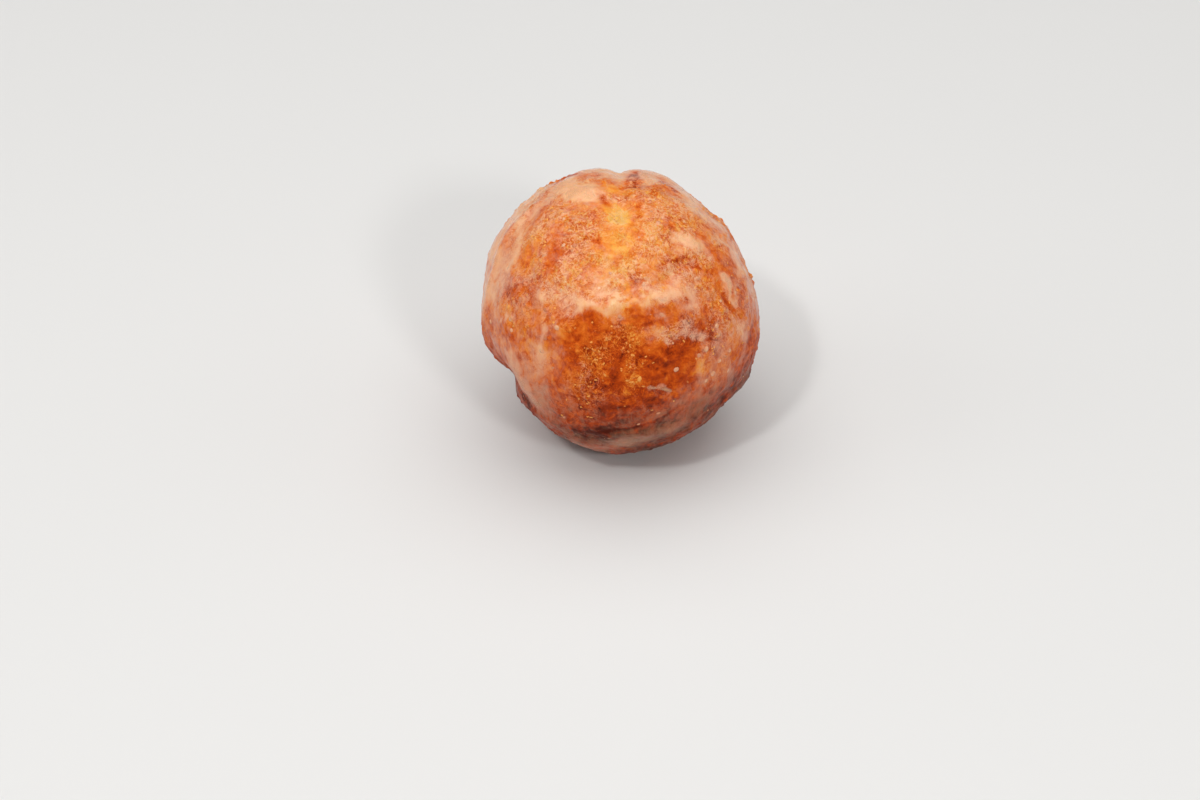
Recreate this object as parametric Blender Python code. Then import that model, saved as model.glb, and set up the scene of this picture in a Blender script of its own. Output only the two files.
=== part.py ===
# A glazed doughnut hole: one ball of fried dough that rests on a small flat spot.
# Metres, +Z up. The origin is under the middle of the ball, on the surface that it rests on.
# A place on the ball is given by its azimuth, from +X towards +Y, and its elevation, in degrees.

import math

import bmesh
import bpy
from mathutils import Vector, noise

MM = 0.001

# Size of the ball before its own weight flattens the underside
WIDTH = 36.4 * MM
DEPTH = 37.4 * MM
HEIGHT = 37.4 * MM
SETTLING = 0.45 * MM
MEAN_RADIUS = (WIDTH + DEPTH + HEIGHT) / 6

# Squares along each edge of the cube that is blown up into the ball
SQUARES = 30

# Shortest edge that stays round the flat spot, where the cut passes close to a corner
SHORTEST_EDGE = 0.2 * MM

# Swells stand out from the ball and hollows sink in. Reach is where they have faded to a third.
SWELLS = {
    "left shoulder": {"place": (156, 28), "reach": 9.0 * MM, "rise": 1.15 * MM},
    "right shoulder hollow": {"place": (24, 27), "reach": 8.0 * MM, "rise": -0.75 * MM},
    "knob on the right shoulder": {"place": (28, 30), "reach": 2.4 * MM, "rise": 0.5 * MM},
    "dip above the knob": {"place": (48, 41), "reach": 3.0 * MM, "rise": -0.35 * MM},
    "dimple under the right heel": {"place": (-32, -32), "reach": 4.5 * MM, "rise": -0.3 * MM},
    "left lobe": {"place": (190, 2), "reach": 5.0 * MM, "rise": 0.55 * MM},
    "right heel": {"place": (-16, -17), "reach": 5.0 * MM, "rise": 0.5 * MM},
    "left heel hollow": {"place": (217, -36), "reach": 6.0 * MM, "rise": -0.6 * MM},
    "front cheek": {"place": (-88, 5), "reach": 8.0 * MM, "rise": 0.45 * MM},
    "crown left of the seam": {"place": (108, 50), "reach": 3.2 * MM, "rise": 0.55 * MM},
    "crown right of the seam": {"place": (72, 50), "reach": 3.4 * MM, "rise": 0.65 * MM},
    "pale navel": {"place": (-95, 84), "reach": 3.4 * MM, "rise": -0.75 * MM},
    "pleat beside the seam": {"place": (62, 73), "reach": 1.5 * MM, "rise": -0.75 * MM},
    "back hollow": {"place": (75, -8), "reach": 7.0 * MM, "rise": -0.7 * MM},
    "back swell": {"place": (125, -20), "reach": 6.5 * MM, "rise": 0.6 * MM},
}

# Folds and rims follow a path of places. Half width is where they have faded to a third.
FOLDS = {
    "seam over the back": {
        "path": ((-95, 80), (88, 80), (92, 52), (97, 26), (88, 6)),
        "half_width": 1.1 * MM,
        "rise": -0.7 * MM,
    },
    "brow over the cheek": {
        "path": ((-133, 21), (-95, 38), (-76, 43), (-54, 32), (-38, 12)),
        "half_width": 1.9 * MM,
        "rise": 0.35 * MM,
    },
    "glaze rim down the left": {
        "path": ((165, 52), (178, 38), (189, 22), (193, 8), (192, -6)),
        "half_width": 0.9 * MM,
        "rise": 0.45 * MM,
    },
    "waist under the left lobe": {
        "path": ((184, -35), (201, -22), (210, -14)),
        "half_width": 2.3 * MM,
        "rise": -1.8 * MM,
    },
    "crack in the left cheek": {
        "path": ((-122, 52), (-108, 57), (-98, 54)),
        "half_width": 0.7 * MM,
        "rise": -0.3 * MM,
    },
    "crack in the right cheek": {
        "path": ((-66, 47), (-52, 51), (-40, 49)),
        "half_width": 0.7 * MM,
        "rise": -0.35 * MM,
    },
}

# The glaze ran down and set as a skirt, whose upper edge waves round the lower half
SKIRT = {
    "elevation": -20.0,
    "wave": 7.0,
    "waves_every": 9.0 * MM,
    "thickness": 0.4 * MM,
    "edge": 1.1 * MM,
}

# Unevenness of the whole ball, from soft lumps to the crags of the crust
RELIEF = {
    "lumps": {"size": 9.0 * MM, "height": 0.45 * MM, "seed": 3.7},
    "blisters": {"size": 3.6 * MM, "height": 0.28 * MM, "seed": 11.3},
    "crags": {"size": 1.7 * MM, "height": 0.2 * MM, "seed": 23.9},
}

CRUST = {"colour": (0.52, 0.14, 0.03, 1.0), "roughness": 0.4}


def direction(azimuth, elevation):
    """The unit vector that points from the ball's middle to a place on it."""
    turn, lift = math.radians(azimuth), math.radians(elevation)
    return Vector(
        (math.cos(turn) * math.cos(lift), math.sin(turn) * math.cos(lift), math.sin(lift))
    )


def along_surface(a, b):
    """The distance over the ball between two unit directions."""
    return MEAN_RADIUS * a.angle(b)


def fade(distance, reach):
    """1 at no distance, falling to about a third at reach."""
    return math.exp(-((distance / reach) ** 2))


def step(x):
    """0 below 0, 1 above 1, and smooth between."""
    x = min(max(x, 0.0), 1.0)
    return x * x * (3 - 2 * x)


def distance_to_path(towards, corners):
    """The distance over the ball from a direction to a path of unit directions."""
    nearest = math.inf
    for start, end in zip(corners, corners[1:]):
        run = end - start
        share = min(max((towards - start).dot(run) / run.length_squared, 0.0), 1.0)
        nearest = min(nearest, along_surface(towards, start + run * share))
    return nearest


def base_radius(towards):
    """The radius of the plain ball, which is an ellipsoid."""
    halves = (WIDTH / 2, DEPTH / 2, HEIGHT / 2)
    return 1 / math.sqrt(sum((t / half) ** 2 for t, half in zip(towards, halves)))


def skirt_rise(towards):
    """How far the skirt of glaze stands out."""
    where = towards * (MEAN_RADIUS / SKIRT["waves_every"])
    edge = SKIRT["elevation"] + SKIRT["wave"] * noise.noise(where)
    elevation = math.degrees(math.asin(max(-1.0, min(1.0, towards.z))))
    below = MEAN_RADIUS * math.radians(edge - elevation)
    return SKIRT["thickness"] * step(below / SKIRT["edge"] + 0.5)


def relief_rise(towards):
    """The sum of the uneven layers, from the broad to the fine."""
    total = 0.0
    for layer in RELIEF.values():
        where = towards * (MEAN_RADIUS / layer["size"]) + Vector((layer["seed"],) * 3)
        total += layer["height"] * noise.noise(where)
    return total


def radius(towards, fold_corners):
    """The distance from the ball's middle to its surface in one direction."""
    total = base_radius(towards) + skirt_rise(towards) + relief_rise(towards)
    for swell in SWELLS.values():
        distance = along_surface(towards, direction(*swell["place"]))
        total += swell["rise"] * fade(distance, swell["reach"])
    for name, fold in FOLDS.items():
        distance = distance_to_path(towards, fold_corners[name])
        total += fold["rise"] * fade(distance, fold["half_width"])
    return total


def blow_up_cube(mesh):
    """Makes a cube of even squares and moves each of its points out to the surface of the ball."""
    bmesh.ops.create_cube(mesh, size=2)
    bmesh.ops.subdivide_edges(mesh, edges=mesh.edges[:], cuts=SQUARES - 1, use_grid_fill=True)
    fold_corners = {
        name: [direction(*place) for place in fold["path"]] for name, fold in FOLDS.items()
    }
    for point in mesh.verts:
        even = Vector([math.tan(c * math.pi / 4) for c in point.co]).normalized()
        point.co = even * radius(even, fold_corners)


def flatten_underside(mesh):
    """Cuts the flat spot and closes it with one face."""
    floor = Vector((0, 0, SETTLING - HEIGHT / 2))
    everything = mesh.verts[:] + mesh.edges[:] + mesh.faces[:]
    bmesh.ops.bisect_plane(
        mesh, geom=everything, plane_co=floor, plane_no=(0, 0, 1), clear_inner=True
    )
    rim = [point for point in mesh.verts if point.is_boundary]
    bmesh.ops.remove_doubles(mesh, verts=rim, dist=SHORTEST_EDGE)
    bmesh.ops.holes_fill(mesh, edges=[e for e in mesh.edges if e.is_boundary])


def stand_on_origin(mesh):
    """Moves the ball so that the origin is under the middle of its box."""
    low = [min(point.co[axis] for point in mesh.verts) for axis in range(3)]
    high = [max(point.co[axis] for point in mesh.verts) for axis in range(3)]
    middle = Vector(((low[0] + high[0]) / 2, (low[1] + high[1]) / 2, low[2]))
    bmesh.ops.translate(mesh, verts=mesh.verts[:], vec=-middle)


def crust_material():
    material = bpy.data.materials.new("fried dough with glaze")
    material.use_nodes = True
    shader = material.node_tree.nodes["Principled BSDF"]
    shader.inputs["Base Color"].default_value = CRUST["colour"]
    shader.inputs["Roughness"].default_value = CRUST["roughness"]
    shader.inputs["Metallic"].default_value = 0.0
    return material


def doughnut_hole():
    """The whole ball as one closed solid."""
    mesh = bmesh.new()
    blow_up_cube(mesh)
    flatten_underside(mesh)
    stand_on_origin(mesh)
    bmesh.ops.recalc_face_normals(mesh, faces=mesh.faces[:])
    data = bpy.data.meshes.new("doughnut_hole")
    mesh.to_mesh(data)
    mesh.free()
    data.materials.append(crust_material())
    data.shade_smooth()
    ball = bpy.data.objects.new("doughnut_hole", data)
    bpy.context.scene.collection.objects.link(ball)
    return ball


def main():
    for old in list(bpy.data.objects):
        bpy.data.objects.remove(old)
    doughnut_hole()


main()
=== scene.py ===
# The looks of a glazed doughnut hole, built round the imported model.
# Metres, +Z up, +X to the photograph's right and +Y away from its camera.
# A place on the ball is its azimuth, from +X towards +Y, and its elevation, in degrees.
import math
import random

import bpy
import numpy as np
from mathutils import Matrix, Vector, kdtree, noise


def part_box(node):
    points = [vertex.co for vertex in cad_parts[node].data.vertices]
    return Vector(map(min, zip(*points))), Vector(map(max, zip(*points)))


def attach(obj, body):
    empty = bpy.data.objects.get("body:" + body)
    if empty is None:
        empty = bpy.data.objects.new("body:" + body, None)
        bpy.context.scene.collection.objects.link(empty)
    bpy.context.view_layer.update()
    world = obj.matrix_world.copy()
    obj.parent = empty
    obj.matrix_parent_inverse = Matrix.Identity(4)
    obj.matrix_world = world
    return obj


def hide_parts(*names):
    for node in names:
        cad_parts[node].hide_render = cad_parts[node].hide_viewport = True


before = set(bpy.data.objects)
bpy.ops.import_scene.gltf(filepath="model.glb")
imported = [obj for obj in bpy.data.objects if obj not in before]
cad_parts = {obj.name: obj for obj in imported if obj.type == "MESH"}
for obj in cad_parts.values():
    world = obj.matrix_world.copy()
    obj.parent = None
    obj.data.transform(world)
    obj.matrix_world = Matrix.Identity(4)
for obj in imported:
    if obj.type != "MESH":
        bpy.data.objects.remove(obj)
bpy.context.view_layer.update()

mm = 0.001
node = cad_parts["doughnut_hole"]
ballLow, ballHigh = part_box("doughnut_hole")
middle = (ballLow + ballHigh) / 2
ballRadius = (ballHigh - ballLow).length / 2 / math.sqrt(3)


def linear(hexColour):
    # sRGB hex to the linear colour that sockets take
    channels = [int(hexColour[i:i + 2], 16) / 255 for i in (1, 3, 5)]
    return [c / 12.92 if c <= 0.04045 else ((c + 0.055) / 1.055) ** 2.4 for c in channels] + [1.0]


def addNode(tree, kind, links=None, **settings):
    # one node with its settings; each input is set to a value or linked to another node's output
    added = tree.nodes.new("ShaderNode" + kind)
    for name, value in settings.items():
        setattr(added, name, value)
    for socket, value in (links or {}).items():
        if isinstance(value, bpy.types.NodeSocket):
            tree.links.new(value, added.inputs[socket])
        else:
            added.inputs[socket].default_value = value
    return added


def perMetre(size):
    # noise scale for lumps of this size in mm
    return 1 / (size * mm)


def deselectAll():
    if bpy.context.object and bpy.context.object.mode != "OBJECT":
        bpy.ops.object.mode_set(mode="OBJECT")
    bpy.ops.object.select_all(action="DESELECT")


def pick(piece):
    deselectAll()
    piece.select_set(True)
    bpy.context.view_layer.objects.active = piece


def applyModifier(piece, kind, **settings):
    pick(piece)
    modifier = piece.modifiers.new(kind.lower(), kind)
    for name, value in settings.items():
        setattr(modifier, name, value)
    bpy.ops.object.modifier_apply(modifier=modifier.name)


# Camera: the photograph looks down on the ball at about 40 degrees
view = {
    "lens": 85.0,
    "sensorWidth": 36.0,
    "elevation": 40.0,
    "imageSize": (1200, 800),
    "ballAtPixel": (620.5, 311.0),
    "ballPixels": 279.0,  # mean width of the ball in the photograph
    "ballWidth": 37.5 * mm,
}


def makeCamera():
    lift = math.radians(view["elevation"])
    back = Vector((0, -math.cos(lift), math.sin(lift)))
    up = Vector((0, math.sin(lift), math.cos(lift)))
    metresPerPixel = view["ballWidth"] / view["ballPixels"]
    width, height = view["imageSize"]
    across = (view["ballAtPixel"][0] - width / 2) * metresPerPixel
    upwards = (height / 2 - view["ballAtPixel"][1]) * metresPerPixel
    aim = middle - Vector((1, 0, 0)) * across - up * upwards
    distance = metresPerPixel * width * view["lens"] / view["sensorWidth"]
    bpy.ops.object.camera_add(location=aim + back * distance)
    camera = bpy.context.object
    camera.name = "camera"
    camera.rotation_mode = "QUATERNION"
    camera.rotation_quaternion = (-back).to_track_quat("-Z", "Y")
    camera.data.lens = view["lens"]
    camera.data.sensor_width = view["sensorWidth"]
    camera.data.clip_start = 0.01
    bpy.context.scene.camera = camera


makeCamera()
print("camera placed")


def vertexPlaces(piece):
    places = np.empty(len(piece.data.vertices) * 3)
    piece.data.vertices.foreach_get("co", places)
    return places.reshape(-1, 3)


def directionOf(place):
    turn, lift = math.radians(place[0]), math.radians(place[1])
    return np.array((math.cos(turn) * math.cos(lift), math.sin(turn) * math.cos(lift), math.sin(lift)))


def directionsOf(places):
    spokes = places - np.array(middle)
    return spokes / np.linalg.norm(spokes, axis=1, keepdims=True)


def distanceTo(directions, corners):
    # distance in mm over the ball from each direction to a place, or to a path of places
    least = 1e-12  # keeps the run of a lone place from being divided by
    nearest = np.full(len(directions), np.inf)
    spots = [directionOf(corner) for corner in corners]
    for start, end in zip(spots, spots[1:] or spots):
        run = end - start
        share = np.clip((directions - start) @ run / max(run @ run, least), 0, 1)
        closest = start + share[:, None] * run
        closest /= np.linalg.norm(closest, axis=1, keepdims=True)
        angle = np.arccos(np.clip((directions * closest).sum(axis=1), -1, 1))
        nearest = np.minimum(nearest, angle * ballRadius / mm)
    return nearest


def cloudiness(directions, size, seed, octaves=3):
    # soft noise from -1 to 1, with lumps of about this size in mm
    points = directions * (ballRadius / mm / size) + seed
    return np.array([noise.fractal(Vector(p), 1.0, 2.0, octaves) for p in points])


def wandering(directions, lumps):
    # directions moved about by noise, so that no patch laid out by them has a smooth edge;
    # noise_vector can give other values in another run of Blender, and noise.noise gives the same
    apart = [Vector((9.3, -1.5, -7.9)) * step for step in range(3)]  # far enough for unlike noise
    points = directions * (ballRadius / mm)
    for size, amount in lumps:
        moves = [[noise.noise(Vector(p / size) + away) for away in apart] for p in points]
        points = points + amount * np.array(moves)
    return points / np.linalg.norm(points, axis=1, keepdims=True)


def smooth(x, low, high):
    x = np.clip((x - low) / (high - low), 0, 1)
    return x * x * (3 - 2 * x)


def sumOf(patches, directions):
    # each patch is a place or a path, its reach in mm, where it has faded to a third, and its amount
    total = np.zeros(len(directions))
    for corners, reach, amount in patches.values():
        total += amount * np.exp(-(distanceTo(directions, corners) / reach) ** 2)
    return total


def setAttribute(piece, name, values):
    attribute = piece.data.attributes.new(name, "FLOAT", "POINT")
    attribute.data.foreach_set("value", np.asarray(values, dtype=np.float32))


def setWeights(piece, name, values):
    group = piece.vertex_groups.new(name=name)
    for index, value in enumerate(values):
        group.add((index,), float(value), "REPLACE")


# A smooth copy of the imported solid, for the new skins to be wrapped on
def smoothedSolid():
    deselectAll()
    bpy.ops.mesh.primitive_cube_add()
    guide = bpy.context.object
    guide.name = "guide"
    guide.data = node.data.copy()
    bpy.ops.object.mode_set(mode="EDIT")
    bpy.ops.mesh.select_all(action="SELECT")
    bpy.ops.mesh.remove_doubles(threshold=0.001 * mm)
    bpy.ops.object.mode_set(mode="OBJECT")
    applyModifier(guide, "SUBSURF", levels=2, render_levels=2)
    return guide


def skinOf(name, guide, levels):
    # a cube rounded to a ball and wrapped on the guide, which gives even squares all over
    deselectAll()
    bpy.ops.mesh.primitive_cube_add(size=2.2 * ballRadius, location=middle)
    skin = bpy.context.object
    skin.name = name
    applyModifier(skin, "SUBSURF", levels=levels, render_levels=levels)
    applyModifier(skin, "CAST", cast_type="SPHERE", factor=1.0)
    bpy.ops.object.transform_apply(location=True, rotation=True, scale=True)
    applyModifier(
        skin, "SHRINKWRAP", target=guide, wrap_method="PROJECT",
        use_negative_direction=True, use_positive_direction=True,
    )
    bpy.ops.object.shade_smooth()
    return skin


def displace(piece, kind, size, height, group, **look):
    # relief from one of Blender's own textures, with lumps of this size
    texture = bpy.data.textures.new(kind.lower(), kind)
    texture.noise_scale = size
    for name, value in look.items():
        setattr(texture, name, value)
    applyModifier(
        piece, "DISPLACE", texture=texture, texture_coords="LOCAL", direction="NORMAL",
        strength=height, mid_level=0.5, vertex_group=group,
    )


# How brown the crust is, over or under its usual tone: place or path, reach in mm, and amount
browning = {
    "pale navel": (((-100, 84), (-95, 79)), 1.8, -0.42),
    "yellow beside the cleft": (((109, 79),), 1.6, -0.12),
    "golden path": (((-91, 72), (-93, 61), (-97, 52)), 2.6, -0.13),
    "pale middle": (((-103, 60), (-71, 57)), 1.8, -0.08),
    "notch": (((150, 80), (165, 82)), 0.7, 0.08),
    # painted highlight: the edge of the upper left film is paler
    "edge of the upper left film": (((159, 67), (164, 72), (166, 76)), 0.9, -0.16),
    # partly painted shade: the fold of the pleat is browner
    "dark pleat": (((78, 59), (73, 70), (63, 76)), 1.1, 0.2),
    "streak on the crest": (((53, 62), (36, 63)), 0.7, 0.24),
    "rim over the upper left": (((129, 44), (126, 49), (126, 58)), 0.8, 0.15),
    "left cheek": (((-140, 52),), 3.2, 0.08),
    "under the upper left": (((180, 70),), 1.0, 0.14),
    "deep spot on the left": (((-135, 52),), 1.0, 0.16),
    "deep left side": (((-159, 27), (-143, 36), (-135, 41)), 1.3, 0.12),
    "upper right": (((-27, 67),), 2.0, 0.06),
    "small deep spot": (((-81, 50),), 0.7, 0.2),
    "under the right cheek": (((-61, 53), (-40, 51)), 0.8, 0.12),
    "deep right side": (((-44, 37), (-42, 33), (-46, 18)), 2.2, 0.15),
    # painted highlight: the lip over the patch is paler
    "lip over the patch": (((-110, 38), (-100, 39), (-88, 40), (-76, 42)), 0.8, -0.16),
    "crust patch": (((-103, 22), (-88, 24), (-63, 21)), 4.1, 0.28),
    "deep spot in the patch": (((-100, 8), (-92, 6)), 1.5, 0.14),
    "light spot in the patch": (((-78, 28), (-73, 29)), 1.2, -0.26),
    "foot of the patch": (((-103, 2), (-88, 0), (-71, 3)), 3.2, 0.22),
    "yellow smear": (((-56, 8),), 1.3, -0.26),
    "under the patch": (((-116, -26), (-99, -21), (-88, -15)), 2.2, 0.08),
    # painted shade: the right and left flanks are browner, as sides in shade
    "right flank": (((-16, 22), (-18, 8), (-24, -12)), 4.5, 0.12),
    "left flank": (((-152, 8), (-135, -8)), 4.8, 0.1),
    "round the skirt": (((-90, -26), (-70, -20), (-50, -12), (-36, -8)), 3.0, 0.08),
}

# Where set glaze lies thick enough to look milky, as patches of the same kind
glazeFilm = {
    "upper left": (((143, 60), (148, 66), (154, 75)), 1.5, 1.15),
    # partly milky glaze and partly painted highlight: the bright lower edge of the upper left film
    "lower edge of it": (((159, 67), (164, 72), (166, 76)), 1.0, 0.85),
    "hump": (((112, 57), (103, 59), (96, 65)), 2.6, 1.05),
    "left band": (((141, 43), (160, 41), (169, 38), (175, 31), (-173, 29), (-169, 20)), 2.5, 0.75),
    "inner left band": (((154, 57), (176, 53), (-175, 45), (-167, 38), (-161, 29)), 1.3, 0.45),
    "outer left band": (((152, 26), (171, 20), (-175, 10)), 2.6, 0.5),
    # partly milky glaze and partly painted highlights: bright spots by the band
    "high spot by the band": (((173, 45),), 0.7, 0.5),
    "spot by the band": (((-166, 41),), 0.7, 0.6),
    "low spot by the band": (((-165, 34),), 0.6, 0.5),
    "crest of the crown": (((75, 52), (62, 49), (43, 54), (31, 55)), 2.0, 0.95),
    "bare rim over the upper left": (((131, 42), (126, 47), (124, 56)), 0.9, -0.7),
    "streak by the pleat": (((68, 58), (54, 68)), 0.8, 1.3),
    "shoulder": (((10, 60), (10, 55), (4, 48), (-3, 40), (-9, 30)), 1.5, 0.4),
    "low shoulder": (((9, 49), (13, 40)), 1.1, 0.5),
    "right cheek": (((-35, 59), (-29, 55)), 1.0, 0.85),
    "lobe of the right cheek": (((-25, 51), (-25, 47)), 0.7, 0.5),
    "pink patch": (((-100, 49), (-102, 45)), 1.6, 0.34),
    "left of the brow": (((-114, 40), (-118, 37)), 1.4, 0.5),
    # partly milky glaze and partly painted highlight: the lip of the brow and the wrinkle over it
    "lip of the brow": (((-112, 38), (-101, 39), (-88, 40), (-78, 42), (-66, 41)), 0.5, 0.6),
    "wrinkle over the lip": (((-104, 43), (-92, 44), (-82, 46), (-74, 45)), 0.3, 0.5),
    "light spot in the patch": (((-78, 28), (-73, 29)), 1.2, 0.6),
    "right of the middle": (((-56, 46), (-59, 49)), 1.2, 0.4),
    "right of the brow": (((-70, 43), (-58, 41), (-53, 36)), 1.0, 0.7),
    "blister": (((-133, 36),), 1.2, 0.8),
    "streak at the right": (((-25, 37), (-27, 32)), 0.6, 1.0),
    "thin streak at the right": (((-27, 32), (-28, 28), (-27, 23)), 0.35, 0.8),
    "right rim": (((-4, 32), (-6, 19), (-5, 8)), 2.0, 0.38),
    "between the patch and the skirt": (((-84, -14), (-66, -4), (-50, 2), (-42, 12)), 1.6, 0.3),
    "low right streaks": (((-29, 12), (-27, 4), (-29, -4)), 0.8, 0.5),
    "wrinkles on the patch": (((-68, 24), (-60, 26), (-54, 21)), 1.2, 0.75),
    "streak left of the patch": (((-126, 24), (-127, 17), (-126, 12)), 0.8, 0.5),
    "left lobe": (((-158, 10), (-155, 5), (-148, 4)), 2.2, 0.35),
    # partly milky glaze and partly painted highlight along the waist
    "waist": (((-141, 1), (-137, -7), (-132, -14)), 1.6, 0.9),
    "low left": (((-127, 6), (-128, -8), (-124, -16)), 2.3, 0.4),
    "drip": (((-79, 6), (-75, 5), (-70, 2)), 0.4, 0.9),
    "yellow smear": (((-56, 8),), 1.0, 0.3),
    "skirt": (((-86, -28), (-74, -25), (-65, -21)), 1.9, 0.6),
    "right of the skirt": (((-59, -13), (-48, -10), (-39, -7)), 2.0, 0.5),
    "foot": (((-112, -39), (-101, -38), (-89, -32)), 1.7, 0.55),
    "bare patch": (((-103, 23), (-87, 24), (-66, 18)), 3.9, -0.75),
    "bare foot of the patch": (((-100, 6), (-86, 4), (-74, 6)), 3.4, -0.4),
}

# The lower half is browner, partly the crust's own tone and partly painted shade, as in the photograph: by
# how much, and where it is less so
browningAndShadeBelow = {
    "browner": 0.43,
    "lighter": {
        "low left": (((-148, 2), (-136, -10), (-126, -16)), 5.0, 0.32),
        "waist": (((-141, 1), (-137, -7), (-132, -14)), 1.4, 0.2),
        "drip": (((-79, 6), (-75, 5), (-70, 2)), 0.6, 0.8),
        "skirt": (((-88, -28), (-74, -25), (-63, -20)), 1.7, 0.2),
        "foot": (((-112, -39), (-101, -38), (-89, -32)), 1.5, 0.24),
    },
}

# Where the crust wrinkled to pale lace as it fried
lacyCrust = {
    "middle of the patch": (((-91, 28), (-99, 22), (-103, 10), (-106, 2)), 2.3, 1.0),
    "right of it": (((-84, 26), (-84, 16), (-86, 8)), 1.2, 0.9),
    "left side": (((-150, 34), (-138, 40), (-126, 44)), 3.0, 0.5),
    "right side": (((-44, 40), (-40, 30), (-38, 18)), 2.4, 0.7),
    "wrinkles on the patch": (((-68, 25), (-60, 26), (-53, 20)), 1.3, 1.0),
}

# Where single drops and bubbles of glaze set
dropSpots = {
    "right of the patch": ((-44, 22), (-44, 18), (-52, 15)),
    "low on the right": ((-39, 8), (-45, 6), (-67, 11), (-40, -2), (-49, 1), (-53, 0)),
    "right half of the patch": ((-55, 13), (-70, 24), (-53, 19), (-70, 35)),
    "down the left front": ((-124, 42), (-126, 14), (-120, 27)),
    "right rim": ((7, 34),),
    "upper left": ((129, 68), (-163, 65), (-156, 69), (-147, 50)),
    "beside the lip": ((-76, 48), (-91, 36)),
    "left lobe": ((-148, 19), (-145, 15), (-153, 14)),
}
dropPlaces = [place for places in dropSpots.values() for place in places]

# Cracks and pleats in the crust: path, half width in mm, depth in mm, and how much browner it is inside
cracks = {
    "left cheek": (((-127, 65), (-122, 66), (-112, 66)), 0.32, -0.14, 0.15),
    "right cheek": (((-61, 54), (-55, 55), (-49, 54), (-40, 52)), 0.45, -0.05, 0.08),
    "pleat": (((78, 59), (73, 70), (63, 76)), 0.45, -0.18, 0.06),
    "left of the pleat": (((83, 64), (80, 75)), 0.3, -0.1, 0.15),
    "upper left of the navel": (((150, 80), (165, 82), (-170, 84)), 0.4, -0.1, 0.06),
    "fold by the navel": (((-150, 82), (-120, 80), (-110, 78)), 0.25, 0.12, -0.15),
    "lower right of the navel": (((-20, 83), (-50, 78), (-75, 76)), 0.35, -0.12, 0.12),
    "edge of the skirt": (((-111, -23), (-88, -18), (-75, -14), (-66, -8)), 0.3, -0.05, 0.06),
    "beside the streak": (((-32, 36), (-33, 28), (-31, 22)), 0.35, -0.06, 0.1),
}

# Crust: yeast dough fried brown. Heights and sizes of its relief in mm.
crustShape = {
    "levels": 7,
    "ripples": (2.4, 0.2),
    "blisters": (0.95, -0.12),
    "crumb": (0.5, 0.16),
    "roughUnderFilm": 0.3,  # share of the fine relief that is left there
    "liftedOffFloor": (0.05, 0.8),  # height in mm over which the relief fades in above the resting spot
    "wander": ((1.8, 0.9), (0.7, 0.35)),
    "crackWander": ((0.8, 0.22),),
    # domes of glaze and dough, as patches whose amounts are heights
    "domes": {
        "blister": (((-133, 36),), 1.1, 0.32),
        "right cheek": (((-35, 59), (-28, 54)), 1.1, 0.22),
        "wrinkle over the lip": (((-104, 43), (-92, 44), (-82, 46), (-74, 45)), 0.3, 0.12),
        "upper left": (((143, 60), (148, 66), (151, 73)), 1.3, 0.2),
        "lip of the brow": (((-108, 39), (-88, 41), (-58, 41)), 1.0, 0.2),
    },
    "crumblySides": {
        "left shoulder": (((152, 22), (142, 36), (134, 46)), 2.6, 1.0),
        "right side": (((12, 58), (2, 38), (-4, 16)), 2.4, 1.0),
    },
    # pimples that rose in the hot oil, from the smallest to the largest, and their share under a film
    "pimples": {"count": 2600, "radii": (0.28, 0.6), "heights": (0.03, 0.32), "seed": 5, "underFilm": 0.25},
    "filmInCracks": -0.4,
}


def pimplesOn(directions):
    # height in mm of the pimples at each point of the ball
    pimples = crustShape["pimples"]
    draw = random.Random(pimples["seed"])
    net = kdtree.KDTree(len(directions))
    for index, direction in enumerate(directions):
        net.insert(direction, index)
    net.balance()
    rise = np.zeros(len(directions))
    for _ in range(pimples["count"]):
        top = Vector([draw.gauss(0, 1) for _ in range(3)]).normalized()
        size = draw.random() ** 2
        low, high = pimples["radii"]
        reach = (low + (high - low) * size) * mm / ballRadius
        low, high = pimples["heights"]
        height = low + (high - low) * size * draw.uniform(0.5, 1)
        for _, index, apart in net.find_range(top, reach):
            rise[index] = max(rise[index], height * (1 - (apart / reach) ** 2) ** 2)
    return rise


guide = smoothedSolid()
crust = skinOf("crust", guide, crustShape["levels"])
basePlaces = vertexPlaces(crust)
towards = directionsOf(basePlaces)
elevation = np.degrees(np.arcsin(towards[:, 2]))
overFloor = smooth(basePlaces[:, 2] / mm, *crustShape["liftedOffFloor"])

# How crust and sugar vary all over the ball, under the patches above. Cloud sizes are in mm and
# elevations in degrees. The back has no patches, so it is cloudier.
allOver = {
    "back": (-0.1, 0.4),  # from here to here, as a share of the radius, the front turns to the back
    "film": {"usual": 0.1, "back": 0.05, "below": 0.12, "belowFrom": (10, 30)},
    "filmClouds": {"size": 3.8, "seed": 31.0, "amount": 0.2, "back": 0.25},
    "filmWisps": {"size": 1.4, "seed": 57.0, "amount": 0.18, "back": 0.0, "octaves": 5},
    "tone": 0.48,
    "toneClouds": {"size": 6.0, "seed": 12.0, "amount": 0.06, "back": 0.12},
    "lowShadeFrom": (-8, 28),
    # painted shade: low down the film's haze is darker
    "shadedAndDullLow": {"from": (-22, 20), "most": 0.8},  # low down the film is browner and its coat weaker
    "crownLace": {"from": (34, 46), "usual": 0.6, "size": 3.2, "seed": 71.0, "amount": 1.1},
    "looseLace": {"size": 5.0, "seed": 44.0, "over": (0.0, 0.4), "amount": 0.35, "back": 0.5},
    "laceUnderFilm": {"film": (0.55, 0.95), "hidden": 0.7},
    "bareFilm": (0.0, 0.4),
    "paleFilm": {"film": (0.2, 0.9), "paler": 0.14},
    "dropFilm": {"reach": 0.5, "amount": 0.45},
}

strayed = wandering(towards, crustShape["wander"])
back = smooth(towards[:, 1], *allOver["back"])


def clouds(look):
    drifts = cloudiness(towards, look["size"], look["seed"], look.get("octaves", 3))
    return (look["amount"] + look["back"] * back) * drifts


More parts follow.
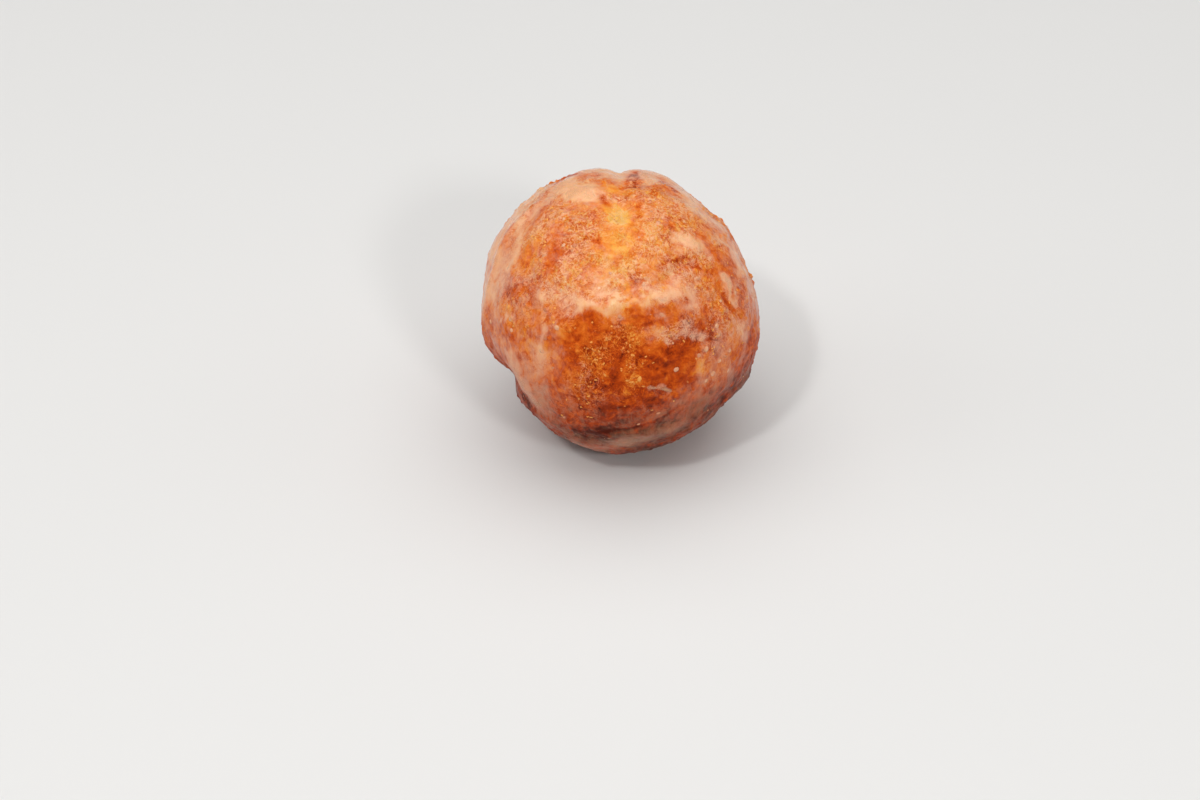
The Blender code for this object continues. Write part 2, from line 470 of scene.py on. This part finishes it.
film = sumOf(glazeFilm, strayed)
film += clouds(allOver["filmClouds"])
film += clouds(allOver["filmWisps"])
film += allOver["film"]["below"] * smooth(-elevation, *allOver["film"]["belowFrom"])
film += allOver["film"]["usual"] + allOver["film"]["back"] * back
tone = allOver["tone"] + sumOf(browning, strayed)
tone += clouds(allOver["toneClouds"])
# Painted shade together with the crust's own browning: the lower half is browner, less so in the lighter
# patches
lowShadeShare = 1 - sumOf(browningAndShadeBelow["lighter"], towards)
tone += browningAndShadeBelow["browner"] * smooth(-elevation, *allOver["lowShadeFrom"]) * lowShadeShare
bare = 1 - smooth(film, *allOver["bareFilm"])

crown = allOver["crownLace"]
crownDrifts = cloudiness(towards, crown["size"], crown["seed"])
lace = sumOf(lacyCrust, strayed)
lace = lace + smooth(elevation, *crown["from"]) * (crown["usual"] + crown["amount"] * crownDrifts)
loose = allOver["looseLace"]
looseDrifts = smooth(cloudiness(towards, loose["size"], loose["seed"]), *loose["over"])
lace += (loose["amount"] + loose["back"] * back) * looseDrifts
hiding = allOver["laceUnderFilm"]
lace = np.clip(lace, 0, 1) * (1 - hiding["hidden"] * smooth(film, *hiding["film"]))

for spot in dropPlaces:
    away = distanceTo(strayed, (spot,)) / allOver["dropFilm"]["reach"]
    film += allOver["dropFilm"]["amount"] * np.exp(-away ** 2)
# Painted shade: low down the film's haze is darker, its coat weaker and the crust under it less pale; less
# so in the lighter patches
dull = allOver["shadedAndDullLow"]
high = 1 - dull["most"] * smooth(-elevation, *dull["from"]) * lowShadeShare
tone -= allOver["paleFilm"]["paler"] * smooth(film, *allOver["paleFilm"]["film"]) * high

underFilm = crustShape["roughUnderFilm"]
setWeights(crust, "rough", overFloor * (underFilm + (1 - underFilm) * bare))
setWeights(crust, "soft", overFloor)
size, height = crustShape["ripples"]
displace(crust, "CLOUDS", size * mm, height * mm, "soft", noise_depth=2)
size, height = crustShape["blisters"]
displace(crust, "CLOUDS", size * mm, height * mm, "rough", noise_depth=1, noise_type="HARD_NOISE")
size, height = crustShape["crumb"]
displace(crust, "CLOUDS", size * mm, height * mm, "rough", noise_depth=2)

crustPlaces = vertexPlaces(crust)
underFilm = crustShape["pimples"]["underFilm"]
pimpledShare = underFilm + (1 - underFilm) * bare + sumOf(crustShape["crumblySides"], strayed)
pimpled = pimplesOn(towards) * pimpledShare
raised = pimpled + sumOf(crustShape["domes"], towards)
bent = wandering(towards, crustShape["crackWander"])
for path, halfWidth, depth, browner in cracks.values():
    crease = np.exp(-(distanceTo(bent, path) / halfWidth) ** 2)
    raised += crease * depth
    tone += crease * browner
    film += crease * crustShape["filmInCracks"]
crustPlaces += towards * (raised * overFloor * mm)[:, None]
crust.data.vertices.foreach_set("co", crustPlaces.reshape(-1))
relief = ((crustPlaces - basePlaces) * towards).sum(axis=1) / mm

setAttribute(crust, "tone", tone)
setAttribute(crust, "relief", relief)
setAttribute(crust, "film", film)
setAttribute(crust, "tip", pimpled)
setAttribute(crust, "lace", lace)
# high is 1 up the ball and less low down, where the shade is painted
setAttribute(crust, "high", high)
print("crust shaped, relief from", round(relief.min(), 2), "to", round(relief.max(), 2), "mm")


# Fried dough: browned starch under a clear film of sugar, so its colour is deep and its shine is soft
friedDough = {
    "tones": (
        (0.0, "#f5b352"), (0.14, "#f39e3e"), (0.3, "#eb862e"), (0.46, "#de6a1a"), (0.6, "#cb500b"),
        (0.74, "#ad3b05"), (0.87, "#862903"), (1.0, "#531602"),
    ),
    # size in mm and weight of each layer of the mottling
    "mottling": ((2.6, 0.16), (1.1, 0.13), (0.42, 0.06)),
    "reliefWeight": -0.3,
    # pale threads of wrinkled crust: size of their loops in mm, width, and how much less brown they are
    "threads": ((1.1, 0.06, 0.25), (0.6, 0.08, 0.23)),
    "threadFilm": 1.7,  # sugar that the threads hold
    "threadGrain": 2.5,  # how far they stand up in the bump
    # pimple tips paler: partly dried crust, partly painted highlight
    "paleTipsAndHighlight": {"heights": (0.06, 0.26), "paler": 0.1},
    # golden flecks: size in mm, noise values at their edge, and how far the lace brings more of them
    "flecks": {"size": 0.42, "edge": (0.66, 0.76), "inLace": 0.13, "paler": 0.24, "grain": 0.8},
    "haze": "#f8d9b8",
    # the haze low down, darker as painted shade
    "hazeInPaintedShade": "#9b5e28",  # low down
    "wisps": ((1.5, 0.3), (0.55, 0.2)),  # size in mm and weight of each layer
    "runDown": 0.45,  # how much finer the wisps are across than down the sides
    "evened": {"film": (0.1, 0.7), "left": 0.55},  # mottling left under a film
    "hazeRange": (-0.15, 1.2),
    "mostHaze": 0.5,
    "roughness": {"film": (-0.2, 0.4), "bare": 0.55, "filmed": 0.35},
    "ior": 1.45,
    "specularLevel": 0.08,
    "coat": {"film": (-0.35, 0.6), "weight": (0.05, 0.65)},
    "coatRoughness": 0.06,
    "coatIor": 1.42,
    "grainHeight": 0.06,
    "subsurface": {"weight": 0.1, "radius": (1.0, 0.3, 0.08), "scale": 0.5 * mm},
}


def friedDoughMaterial():
    material = bpy.data.materials.new("fried dough, browned")
    material.use_nodes = True
    tree = material.node_tree
    shader = tree.nodes["Principled BSDF"]
    place = addNode(tree, "TexCoord").outputs["Object"]
    here = {
        name: addNode(tree, "Attribute", attribute_name=name).outputs["Fac"]
        for name in ("tone", "relief", "film", "tip", "lace", "high")
    }
    # a thin film of set sugar lies over the crust in wisps, and evens out what shows through it
    runPlace = addNode(tree, "Mapping", {
        "Vector": place, "Scale": (1.0, 1.0, friedDough["runDown"]),
    }).outputs["Vector"]
    filmHere = here["film"]
    for wispSize, weight in friedDough["wisps"]:
        wisps = addNode(tree, "TexNoise", {
            "Vector": runPlace, "Scale": perMetre(wispSize), "Detail": 4.0, "Roughness": 0.6,
            "Distortion": 1.2,
        }).outputs["Fac"]
        spread = addNode(tree, "MapRange", {
            "Value": wisps, "From Min": 0.3, "From Max": 0.7, "To Min": -weight, "To Max": weight,
        }).outputs["Result"]
        filmHere = addNode(tree, "Math", {0: filmHere, 1: spread}, operation="ADD").outputs["Value"]

    # the crust wrinkled as it fried: pale threads wind over it, along the middle values of a noise
    threads = 0.0
    for loopSize, width, paler in friedDough["threads"]:
        winding = addNode(tree, "TexNoise", {
            "Vector": place, "Scale": perMetre(loopSize), "Detail": 2.0, "Roughness": 0.5,
            "Distortion": 1.2,
        }).outputs["Fac"]
        fromMiddle = addNode(tree, "Math", {0: winding, 1: 0.5}, operation="SUBTRACT").outputs["Value"]
        fromMiddle = addNode(tree, "Math", {0: fromMiddle}, operation="ABSOLUTE").outputs["Value"]
        thread = addNode(tree, "MapRange", {
            "Value": fromMiddle, "From Min": 0.0, "From Max": width, "To Min": 1.0, "To Max": 0.0,
        }, interpolation_type="SMOOTHSTEP").outputs["Result"]
        threads = addNode(tree, "Math", {
            0: thread, 1: paler, 2: threads,
        }, operation="MULTIPLY_ADD").outputs["Value"]
    threads = addNode(tree, "Math", {0: threads, 1: here["lace"]}, operation="MULTIPLY").outputs["Value"]
    filmHere = addNode(tree, "Math", {
        0: threads, 1: friedDough["threadFilm"], 2: filmHere,
    }, operation="MULTIPLY_ADD").outputs["Value"]
    evened = friedDough["evened"]
    uneven = addNode(tree, "MapRange", {
        "Value": filmHere, "From Min": evened["film"][0], "From Max": evened["film"][1],
        "To Min": 1.0, "To Max": evened["left"],
    }).outputs["Result"]

    browner = addNode(tree, "Math", {
        0: here["relief"], 1: friedDough["reliefWeight"],
    }, operation="MULTIPLY").outputs["Value"]
    for layerSize, weight in friedDough["mottling"]:
        grain = addNode(tree, "TexNoise", {
            "Vector": place, "Scale": perMetre(layerSize), "Detail": 3.0, "Roughness": 0.6,
            "Distortion": 0.9,
        }).outputs["Fac"]
        spread = addNode(tree, "MapRange", {
            "Value": grain, "From Min": 0.3, "From Max": 0.7, "To Min": -weight, "To Max": weight,
        }).outputs["Result"]
        browner = addNode(tree, "Math", {0: browner, 1: spread}, operation="ADD").outputs["Value"]

    browner = addNode(tree, "Math", {0: browner, 1: threads}, operation="SUBTRACT").outputs["Value"]
    grain = addNode(tree, "Math", {
        0: threads, 1: friedDough["threadGrain"], 2: grain,
    }, operation="MULTIPLY_ADD").outputs["Value"]

    # tips of pimples are paler: partly crust that dried out in the oil, partly a painted highlight
    paleTipsAndHighlight = friedDough["paleTipsAndHighlight"]
    tips = addNode(tree, "MapRange", {
        "Value": here["tip"], "From Min": paleTipsAndHighlight["heights"][0], "From Max": paleTipsAndHighlight["heights"][1],
        "To Min": 0.0, "To Max": -paleTipsAndHighlight["paler"],
    }).outputs["Result"]
    browner = addNode(tree, "Math", {0: browner, 1: tips}, operation="ADD").outputs["Value"]

    # golden flecks of dry crumb in the lace
    flecks = friedDough["flecks"]
    lumps = addNode(tree, "TexNoise", {
        "Vector": place, "Scale": perMetre(flecks["size"]), "Detail": 2.0, "Roughness": 0.6,
        "Distortion": 0.6,
    }).outputs["Fac"]
    fleck = addNode(tree, "Math", {
        0: here["lace"], 1: flecks["inLace"], 2: lumps,
    }, operation="MULTIPLY_ADD").outputs["Value"]
    fleck = addNode(tree, "MapRange", {
        "Value": fleck, "From Min": flecks["edge"][0], "From Max": flecks["edge"][1],
        "To Min": 0.0, "To Max": 1.0,
    }, interpolation_type="SMOOTHSTEP").outputs["Result"]
    browner = addNode(tree, "Math", {
        0: fleck, 1: -flecks["paler"], 2: browner,
    }, operation="MULTIPLY_ADD").outputs["Value"]
    grain = addNode(tree, "Math", {
        0: fleck, 1: flecks["grain"], 2: grain,
    }, operation="MULTIPLY_ADD").outputs["Value"]
    toneHere = addNode(tree, "Math", {
        0: browner, 1: uneven, 2: here["tone"],
    }, operation="MULTIPLY_ADD").outputs["Value"]

    ramp = addNode(tree, "ValToRGB", {"Fac": toneHere})
    stops = ramp.color_ramp.elements
    while len(stops) < len(friedDough["tones"]):
        stops.new(0.5)
    for stop, (position, colour) in zip(stops, friedDough["tones"]):
        stop.position = position
        stop.color = linear(colour)
    colourHere = ramp.outputs["Color"]

    thin, thick = friedDough["hazeRange"]
    haze = addNode(tree, "MapRange", {
        "Value": filmHere, "From Min": thin, "From Max": thick,
        "To Min": 0.0, "To Max": friedDough["mostHaze"],
    }, interpolation_type="SMOOTHSTEP").outputs["Result"]
    # low down the haze is darker: painted shade
    hazeHere = addNode(tree, "MixRGB", {
        "Fac": here["high"],
        "Color1": linear(friedDough["hazeInPaintedShade"]), "Color2": linear(friedDough["haze"]),
    }).outputs["Color"]
    colourHere = addNode(tree, "MixRGB", {
        "Fac": haze, "Color1": colourHere, "Color2": hazeHere,
    }).outputs["Color"]
    tree.links.new(colourHere, shader.inputs["Base Color"])

    # bare crumb is duller than crust under a film
    dull = friedDough["roughness"]
    roughness = addNode(tree, "MapRange", {
        "Value": filmHere, "From Min": dull["film"][0], "From Max": dull["film"][1],
        "To Min": dull["bare"], "To Max": dull["filmed"],
    }).outputs["Result"]
    tree.links.new(roughness, shader.inputs["Roughness"])
    coat = addNode(tree, "MapRange", {
        "Value": filmHere,
        "From Min": friedDough["coat"]["film"][0], "From Max": friedDough["coat"]["film"][1],
        "To Min": friedDough["coat"]["weight"][0], "To Max": friedDough["coat"]["weight"][1],
    }).outputs["Result"]
    coat = addNode(tree, "Math", {0: coat, 1: here["high"]}, operation="MULTIPLY").outputs["Value"]
    tree.links.new(coat, shader.inputs["Coat Weight"])
    bump = addNode(tree, "Bump", {
        "Height": grain, "Distance": friedDough["grainHeight"] * mm, "Strength": uneven,
    }).outputs["Normal"]
    tree.links.new(bump, shader.inputs["Normal"])
    tree.links.new(bump, shader.inputs["Coat Normal"])
    shader.inputs["IOR"].default_value = friedDough["ior"]
    shader.inputs["Specular IOR Level"].default_value = friedDough["specularLevel"]
    shader.inputs["Coat Roughness"].default_value = friedDough["coatRoughness"]
    shader.inputs["Coat IOR"].default_value = friedDough["coatIor"]
    shader.inputs["Subsurface Weight"].default_value = friedDough["subsurface"]["weight"]
    shader.inputs["Subsurface Radius"].default_value = friedDough["subsurface"]["radius"]
    shader.inputs["Subsurface Scale"].default_value = friedDough["subsurface"]["scale"]
    return material


crust.data.materials.append(friedDoughMaterial())
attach(crust, "root")
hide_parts("doughnut_hole")
print("crust finished")


# Glaze: sugar syrup that ran down and set. Where the film is thin its skin is sunk in the crust.
glazeShape = {
    "sunk": -0.3,  # mm under the crust's mean surface, where there is no thick glaze
    "thickest": 0.12,  # mm over it
    "filmRange": (0.35, 1.3),
    "lumps": {"size": 2.2, "height": 0.06, "seed": 83.0},
    "highest": 0.24,  # mm over it, at the rims
    "rims": {
        # path, half width in mm and height in mm of the rolled edge where a sheet of glaze stopped
        "left rim": (((165, 40), (-180, 34), (-172, 24), (-168, 14), (-160, 4)), 0.28, 0.16),
        "skirt edge": (((-88, -20), (-75, -16), (-66, -11), (-55, -4), (-42, -5), (-30, -9)), 0.3, 0.12),
        "right streak": (((-25, 37), (-27, 32), (-28, 28), (-27, 23)), 0.25, 0.18),
        "streak by the pleat": (((70, 59), (56, 68)), 0.35, 0.2),
        "drip": (((-79, 6), (-75, 5), (-70, 2)), 0.32, 0.65),
        "crest": (((80, 47), (62, 45), (43, 51), (31, 54)), 0.4, 0.12),
    },
}

glaze = skinOf("glaze", guide, crustShape["levels"])
coverage = smooth(film, *glazeShape["filmRange"])
thickness = glazeShape["sunk"] + (glazeShape["thickest"] - glazeShape["sunk"]) * coverage
lumps = glazeShape["lumps"]
thickness += lumps["height"] * cloudiness(towards, lumps["size"], lumps["seed"], 2)
for path, halfWidth, rimHeight in glazeShape["rims"].values():
    thickness += rimHeight * np.exp(-(distanceTo(towards, path) / halfWidth) ** 2)
thickness = np.minimum(thickness, glazeShape["highest"]) * overFloor
thickness += sumOf(crustShape["domes"], towards) * overFloor
glazePlaces = basePlaces + towards * (thickness * mm)[:, None]
glaze.data.vertices.foreach_set("co", glazePlaces.reshape(-1))
setAttribute(glaze, "depth", thickness - relief)
setAttribute(glaze, "high", high)
print("glaze shaped, deepest", round((thickness - relief).max(), 2), "mm")

# Set sugar glaze: milky with tiny crystals, smooth and glossy where it set undisturbed
sugarGlaze = {
    "colour": "#f1b17a",
    "thickColour": "#f6cfa4",
    # the glaze low down, darker as painted shade
    "glazeInPaintedShade": "#a3591e",
    "clearing": 0.4,  # mm of glaze that hides two thirds of the crust
    "mostAlpha": 0.4,
    "unevenness": (0.3, 1.3),
    "roughness": 0.14,
    "ior": 1.49,
    "specularLevel": 0.36,
    "wrinkles": (0.9, 0.03),  # size and height in mm
}


def sugarGlazeMaterial():
    material = bpy.data.materials.new("set sugar glaze")
    material.use_nodes = True
    tree = material.node_tree
    shader = tree.nodes["Principled BSDF"]
    place = addNode(tree, "TexCoord").outputs["Object"]
    depth = addNode(tree, "Attribute", attribute_name="depth").outputs["Fac"]
    wrinkleSize, wrinkleHeight = sugarGlaze["wrinkles"]
    wrinkles = addNode(tree, "TexNoise", {
        "Vector": place, "Scale": perMetre(wrinkleSize), "Detail": 4.0, "Roughness": 0.6, "Distortion": 0.6,
    }).outputs["Fac"]
    # alpha rises with depth as 1 - exp(-depth / clearing), as light dies away in a milky liquid
    share = addNode(tree, "Math", {
        0: depth, 1: -1 / sugarGlaze["clearing"],
    }, operation="MULTIPLY").outputs["Value"]
    passed = addNode(tree, "Math", {0: share}, operation="EXPONENT").outputs["Value"]
    milk = addNode(tree, "Math", {0: 1.0, 1: passed}, operation="SUBTRACT", use_clamp=True).outputs["Value"]
    least, most = sugarGlaze["unevenness"]
    uneven = addNode(tree, "MapRange", {
        "Value": wrinkles, "From Min": 0.3, "From Max": 0.7, "To Min": least, "To Max": most,
    }).outputs["Result"]
    alpha = addNode(tree, "Math", {0: milk, 1: uneven}, operation="MULTIPLY").outputs["Value"]
    alpha = addNode(tree, "Math", {
        0: alpha, 1: sugarGlaze["mostAlpha"],
    }, operation="MINIMUM").outputs["Value"]
    tree.links.new(alpha, shader.inputs["Alpha"])
    colour = addNode(tree, "MixRGB", {
        "Fac": wrinkles,
        "Color1": linear(sugarGlaze["colour"]), "Color2": linear(sugarGlaze["thickColour"]),
    }).outputs["Color"]
    # low down the glaze is darker: painted shade
    high = addNode(tree, "Attribute", attribute_name="high").outputs["Fac"]
    colour = addNode(tree, "MixRGB", {
        "Fac": high, "Color1": linear(sugarGlaze["glazeInPaintedShade"]), "Color2": colour,
    }).outputs["Color"]
    tree.links.new(colour, shader.inputs["Base Color"])
    bump = addNode(tree, "Bump", {
        "Height": wrinkles, "Distance": wrinkleHeight * mm, "Strength": 1.0,
    }).outputs["Normal"]
    tree.links.new(bump, shader.inputs["Normal"])
    shader.inputs["Roughness"].default_value = sugarGlaze["roughness"]
    shader.inputs["IOR"].default_value = sugarGlaze["ior"]
    shader.inputs["Specular IOR Level"].default_value = sugarGlaze["specularLevel"]
    return material


glaze.data.materials.append(sugarGlazeMaterial())
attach(glaze, "root")
print("glaze finished")

bpy.data.objects.remove(guide)


def scatter(name, models, placements):
    # copies of small models, each with its own mesh, joined in one piece
    copies = []
    for number, (placement, shade) in enumerate(placements):
        copy = models[number % len(models)].copy()
        copy.data = copy.data.copy()
        copy.data.transform(placement)
        setAttribute(copy, "shade", np.full(len(copy.data.vertices), shade))
        bpy.context.collection.objects.link(copy)
        copies.append(copy)
    for model in models:
        bpy.data.objects.remove(model)
    deselectAll()
    for copy in copies:
        copy.select_set(True)
    bpy.context.view_layer.objects.active = copies[0]
    bpy.ops.object.join()
    piece = bpy.context.object
    piece.name = name
    return piece


def placementOn(spot, size, turn, sunk):
    # where a small model goes on the crust, with its own up along the ball's spoke
    nearest = int(np.argmax(towards @ np.array(spot)))
    spoke = Vector(towards[nearest])
    upright = spoke.to_track_quat("Z", "Y").to_matrix().to_4x4()
    place = Vector(crustPlaces[nearest]) - spoke * sunk * mm
    stretch = Matrix.Diagonal((*(side * mm for side in size), 1.0))
    return Matrix.Translation(place) @ upright @ Matrix.Rotation(turn, 4, "Z") @ stretch


# Beads of glaze, where drops and bubbles of it set. Widths in mm.
sugarBeads = {
    "strewn": 240,
    "film": (0.2, 0.25),  # they lie where the film is this thick, more or less
    "lowest": -0.5,  # as the sine of the elevation
    "widths": (0.22, 0.9),
    "chosenWidths": (0.7, 1.05),  # shares of the largest width
    "chosenShades": (0.5, 1),
    "long": (0.9, 1.1),
    "narrow": (0.75, 1),
    "height": 0.38,  # of its width
    "shapes": 4,
    "unevenness": 0.22,
    "sunk": 0.07,
    "seed": 21,
}


def beadPlacements():
    draw = random.Random(sugarBeads["seed"])
    spots = [directionOf(spot) for spot in dropPlaces]
    usual, spread = sugarBeads["film"]
    while len(spots) < len(dropPlaces) + sugarBeads["strewn"]:
        spot = np.array([draw.gauss(0, 1) for _ in range(3)])
        spot /= np.linalg.norm(spot)
        filmThere = film[int(np.argmax(towards @ spot))]
        if abs(filmThere - usual) < spread and spot[2] > sugarBeads["lowest"]:
            spots.append(spot)
    placements = []
    for number, spot in enumerate(spots):
        low, high = sugarBeads["widths"]
        chosen = number < len(dropPlaces)
        if chosen:
            width = draw.uniform(*sugarBeads["chosenWidths"]) * high
        else:
            width = low + (high - low) * draw.random() ** 3
        size = (
            width / 2 * draw.uniform(*sugarBeads["long"]), width / 2 * draw.uniform(*sugarBeads["narrow"]),
            width / 2 * sugarBeads["height"],
        )
        shade = draw.uniform(*sugarBeads["chosenShades"]) if chosen else draw.random()
        turn = draw.uniform(0, math.tau)
        placements.append((placementOn(spot, size, turn, sugarBeads["sunk"]), shade))
    return placements


def beadModels():
    # uneven drops with a flatter underside
    draw = random.Random(sugarBeads["seed"])
    models = []
    for _ in range(sugarBeads["shapes"]):
        deselectAll()
        bpy.ops.mesh.primitive_ico_sphere_add(subdivisions=2, radius=1.0)
        model = bpy.context.object
        bpy.ops.object.mode_set(mode="EDIT")
        bpy.ops.transform.vertex_random(offset=sugarBeads["unevenness"], seed=draw.randrange(100))
        bpy.ops.mesh.vertices_smooth(factor=0.5)
        bpy.ops.mesh.select_all(action="DESELECT")
        bpy.ops.object.mode_set(mode="OBJECT")
        for vertex in model.data.vertices:
            vertex.select = vertex.co.z < -0.3
        bpy.ops.object.mode_set(mode="EDIT")
        bpy.ops.transform.resize(value=(1.05, 1.05, 0.4))
        bpy.ops.object.mode_set(mode="OBJECT")
        bpy.ops.object.shade_smooth()
        models.append(model)
    return models


beads = scatter("sugar_beads", beadModels(), beadPlacements())

# Drops of set sugar glaze: clear at heart with a milky skin, so they are paler and shinier than the film
sugarDrops = {
    "clearColour": "#c8622a",
    "milkyColour": "#eaab82",
    "clouds": {"size": 0.35, "height": 0.02},
    "roughness": 0.18,
    "ior": 1.49,
    "subsurface": {"weight": 0.3, "radius": (1.0, 0.6, 0.4), "scale": 0.4 * mm},
}


def sugarDropsMaterial():
    material = bpy.data.materials.new("sugar glaze, set in drops")
    material.use_nodes = True
    tree = material.node_tree
    shader = tree.nodes["Principled BSDF"]
    place = addNode(tree, "TexCoord").outputs["Object"]
    cloud = addNode(tree, "TexNoise", {
        "Vector": place, "Scale": perMetre(sugarDrops["clouds"]["size"]), "Detail": 3.0, "Roughness": 0.6,
    }).outputs["Fac"]
    shade = addNode(tree, "Attribute", attribute_name="shade").outputs["Fac"]
    milk = addNode(tree, "Math", {0: shade, 1: cloud}, operation="ADD").outputs["Value"]
    milk = addNode(tree, "MapRange", {
        "Value": milk, "From Min": 0.4, "From Max": 1.4, "To Min": 0.1, "To Max": 1.0,
    }).outputs["Result"]
    colour = addNode(tree, "MixRGB", {
        "Fac": milk,
        "Color1": linear(sugarDrops["clearColour"]), "Color2": linear(sugarDrops["milkyColour"]),
    }).outputs["Color"]
    tree.links.new(colour, shader.inputs["Base Color"])
    bump = addNode(tree, "Bump", {
        "Height": cloud, "Distance": sugarDrops["clouds"]["height"] * mm, "Strength": 1.0,
    }).outputs["Normal"]
    tree.links.new(bump, shader.inputs["Normal"])
    shader.inputs["Roughness"].default_value = sugarDrops["roughness"]
    shader.inputs["IOR"].default_value = sugarDrops["ior"]
    shader.inputs["Subsurface Weight"].default_value = sugarDrops["subsurface"]["weight"]
    shader.inputs["Subsurface Radius"].default_value = sugarDrops["subsurface"]["radius"]
    shader.inputs["Subsurface Scale"].default_value = sugarDrops["subsurface"]["scale"]
    return material


beads.data.materials.append(sugarDropsMaterial())
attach(beads, "root")
print("sugar beads set,", len(beads.data.polygons), "faces")


# Crumbs of crust that stand up dry and golden. Sizes in mm.
crustCrumbs = {
    "large": ((-83, 10),),  # where the largest ones stand
    "count": 380,
    "lengths": (0.25, 0.6),
    "widths": (0.18, 0.32),
    "sunk": 0.03,
    "strays": 0.03,  # share of them outside the lace
    "lowest": -0.35,  # as the sine of the elevation
    "shapes": 4,
    "unevenness": 0.28,
    "seed": 33,
}


def crumbModels():
    draw = random.Random(crustCrumbs["seed"])
    models = []
    for _ in range(crustCrumbs["shapes"]):
        deselectAll()
        bpy.ops.mesh.primitive_ico_sphere_add(subdivisions=1, radius=1.0)
        model = bpy.context.object
        bpy.ops.object.mode_set(mode="EDIT")
        bpy.ops.transform.vertex_random(offset=crustCrumbs["unevenness"], seed=draw.randrange(100))
        bpy.ops.object.mode_set(mode="OBJECT")
        models.append(model)
    return models


def crumbPlacements():
    draw = random.Random(crustCrumbs["seed"])
    placements = []
    for spot in crustCrumbs["large"]:
        size = [crustCrumbs["lengths"][1] * share for share in (0.8, 0.5, 0.5)]
        placements.append((placementOn(directionOf(spot), size, 1.2, crustCrumbs["sunk"]), 1.0))
    while len(placements) < crustCrumbs["count"]:
        spot = np.array([draw.gauss(0, 1) for _ in range(3)])
        spot /= np.linalg.norm(spot)
        nearest = int(np.argmax(towards @ spot))
        likely = (crustCrumbs["strays"] + lace[nearest]) * bare[nearest]
        if draw.random() > likely or spot[2] < crustCrumbs["lowest"]:
            continue
        size = (
            draw.uniform(*crustCrumbs["lengths"]) / 2, draw.uniform(*crustCrumbs["widths"]) / 2,
            draw.uniform(*crustCrumbs["widths"]) / 2,
        )
        placement = placementOn(spot, size, draw.uniform(0, math.tau), crustCrumbs["sunk"])
        placements.append((placement, draw.random()))
    return placements


crumbs = scatter("crust_crumbs", crumbModels(), crumbPlacements())

# Dry crumb: thin flakes of crust without glaze, so they are light, golden and dull
dryCrumb = {
    "darkColour": "#c65c14",
    "lightColour": "#f5aa4e",
    "pores": {"size": 0.2, "depth": 0.03},
    "roughness": 0.5,
    "ior": 1.45,
}


def dryCrumbMaterial():
    material = bpy.data.materials.new("dry crumb, golden")
    material.use_nodes = True
    tree = material.node_tree
    shader = tree.nodes["Principled BSDF"]
    place = addNode(tree, "TexCoord").outputs["Object"]
    pores = addNode(tree, "TexNoise", {
        "Vector": place, "Scale": perMetre(dryCrumb["pores"]["size"]), "Detail": 3.0, "Roughness": 0.6,
    }).outputs["Fac"]
    shade = addNode(tree, "Attribute", attribute_name="shade").outputs["Fac"]
    light = addNode(tree, "Math", {0: shade, 1: pores}, operation="ADD").outputs["Value"]
    light = addNode(tree, "MapRange", {
        "Value": light, "From Min": 0.3, "From Max": 1.3, "To Min": 0.0, "To Max": 1.0,
    }).outputs["Result"]
    colour = addNode(tree, "MixRGB", {
        "Fac": light, "Color1": linear(dryCrumb["darkColour"]), "Color2": linear(dryCrumb["lightColour"]),
    }).outputs["Color"]
    tree.links.new(colour, shader.inputs["Base Color"])
    bump = addNode(tree, "Bump", {
        "Height": pores, "Distance": dryCrumb["pores"]["depth"] * mm, "Strength": 1.0,
    }).outputs["Normal"]
    tree.links.new(bump, shader.inputs["Normal"])
    shader.inputs["Roughness"].default_value = dryCrumb["roughness"]
    shader.inputs["IOR"].default_value = dryCrumb["ior"]
    return material


crumbs.data.materials.append(dryCrumbMaterial())
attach(crumbs, "root")
print("crumbs strewn,", len(crumbs.data.polygons), "faces")


# Floor and light: a pale sheet under a broad soft light from above, as in a light tent
studio = {
    "floorSize": 3.0,
    "floorColour": "#e3e2e0",
    "floorRoughness": 0.9,
    "floorSpecularLevel": 0.1,
    "sky": 0.1,
    "lamps": {
        # where it hangs, its width and height in metres, and its power in watts
        "overhead": ((0.0, 0.06, 0.55), (0.8, 0.8), 3.0),
        "window": ((0.22, -0.44, 0.37), (0.09, 0.07), 0.8),
        "glint": ((-0.2, -0.3, 0.5), (0.05, 0.05), 0.75),
        "left": ((-0.5, -0.05, 0.3), (0.35, 0.35), 0.5),
        "right": ((0.5, 0.05, 0.3), (0.35, 0.35), 0.25),
    },
}


def makeStudio():
    deselectAll()
    bpy.ops.mesh.primitive_plane_add(size=studio["floorSize"], location=(0, 0, 0))
    floor = bpy.context.object
    floor.name = "floor"
    paper = bpy.data.materials.new("matt paper")
    paper.use_nodes = True
    paperShader = paper.node_tree.nodes["Principled BSDF"]
    paperShader.inputs["Base Color"].default_value = linear(studio["floorColour"])
    paperShader.inputs["Roughness"].default_value = studio["floorRoughness"]
    paperShader.inputs["Specular IOR Level"].default_value = studio["floorSpecularLevel"]
    floor.data.materials.append(paper)
    for name, (spot, (width, height), power) in studio["lamps"].items():
        bpy.ops.object.light_add(type="AREA", location=spot)
        lamp = bpy.context.object
        lamp.name = name
        lamp.data.shape = "RECTANGLE"
        lamp.data.size = width
        lamp.data.size_y = height
        lamp.data.energy = power
        lamp.rotation_mode = "QUATERNION"
        lamp.rotation_quaternion = (middle - Vector(spot)).to_track_quat("-Z", "Y")
    world = bpy.data.worlds.new("light tent")
    world.use_nodes = True
    sky = world.node_tree.nodes["Background"]
    sky.inputs["Color"].default_value = (1.0, 1.0, 1.0, 1.0)
    sky.inputs["Strength"].default_value = studio["sky"]
    bpy.context.scene.world = world
    bpy.context.scene.view_settings.view_transform = "Standard"


makeStudio()
print("studio lit")
